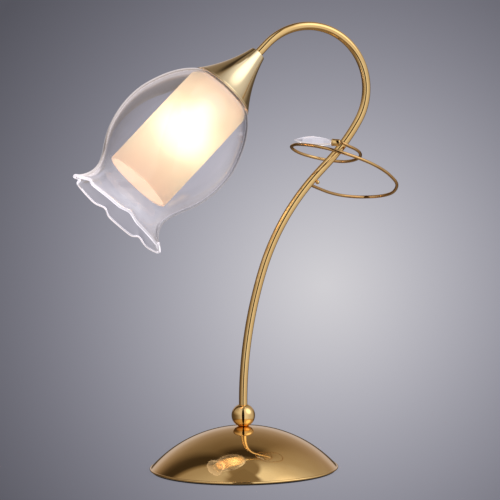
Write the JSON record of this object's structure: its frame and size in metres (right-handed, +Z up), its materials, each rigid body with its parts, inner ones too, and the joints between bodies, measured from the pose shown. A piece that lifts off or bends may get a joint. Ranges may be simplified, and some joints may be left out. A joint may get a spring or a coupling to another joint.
{
  "type": "table lamp",
  "caption": "Table lamp: domed round foot, curved hooked stem with a wire curl and crystal leaf, and a tilted clear tulip glass over a frosted cylinder and bulb.",
  "frame": {"origin": "centre of the foot's underside, on the surface that the lamp stands on", "axes": "+Z up; the stem bends in the XZ plane and carries the head towards -X; the cord bushing is at the back, towards +Y"},
  "size_m": [0.2839, 0.16, 0.3786],
  "materials": {
    "polished_brass": "polished, lacquered",
    "cast_iron": "as cast",
    "black_lacquer": "satin black",
    "felt": "felt",
    "zinc_steel": "zinc plated",
    "black_plastic": "matt",
    "block_plastic": "matt",
    "terminal_brass": "machined",
    "brown_insulation": "satin",
    "blue_insulation": "satin",
    "crystal": "cut and polished",
    "white_plastic": "gloss",
    "porcelain": "glazed",
    "nickelled_steel": "nickel plated",
    "silicone": "matt",
    "clear_glass": "clear, fire polished",
    "frosted_glass": "acid frosted",
    "bulb_frosted": "frosted",
    "bulb_aluminium": "rolled",
    "black_glass": "vitrite",
    "solder": "solder",
    "mount_glass": "clear",
    "lead_wire": "drawn",
    "tungsten": "coiled"
  },
  "bodies": {
    "lamp": {"base_dome": "polished_brass", "base_weight": "cast_iron", "bottom_plate": "black_lacquer", "foot_pad": "felt", "plate_screws": "zinc_steel", "base_ball": "polished_brass", "stem_nut": "zinc_steel", "stem_washer": "zinc_steel", "cord_bushing": "black_plastic", "bushing_nut": "black_plastic", "terminal_block": "block_plastic", "terminal_tubes": "terminal_brass", "wire_live": "brown_insulation", "wire_neutral": "blue_insulation", "stem_tube": "polished_brass", "curl_wire": "polished_brass", "curl_pin": "polished_brass", "leaf_cap": "polished_brass", "crystal_leaf": "crystal", "cone_cup": "polished_brass", "arm_nipple": "zinc_steel", "cone_locknut": "zinc_steel", "holder_cap": "white_plastic", "holder_skirt": "white_plastic", "holder_insert": "porcelain", "screw_shell": "nickelled_steel", "centre_contact": "terminal_brass", "holder_terminals": "terminal_brass", "upper_shade_ring": "white_plastic", "glass_gaskets": "silicone", "tulip_shade": "clear_glass", "frosted_cylinder": "frosted_glass"},
    "bulb": {"bulb_glass": "bulb_frosted", "bulb_cap": "bulb_aluminium", "bulb_insulator": "black_glass", "bulb_tip": "solder", "bulb_mount": "mount_glass", "bulb_leads": "lead_wire", "bulb_filament": "tungsten"},
    "shade_ring": {"lower_shade_ring": "white_plastic"}
  },
  "joints": [
    {"name": "bulb_out", "type": "slide", "parent": "lamp", "child": "bulb", "axis": [-0.7193, 0, -0.6947], "range_m": [0, 0.16]},
    {"name": "shade_ring_turn", "type": "hinge", "parent": "lamp", "child": "shade_ring", "pos_m": [-0.02003, 0, 0.31668], "axis": [-0.7193, 0, -0.6947], "range_deg": [0, 1080]}
  ]
}
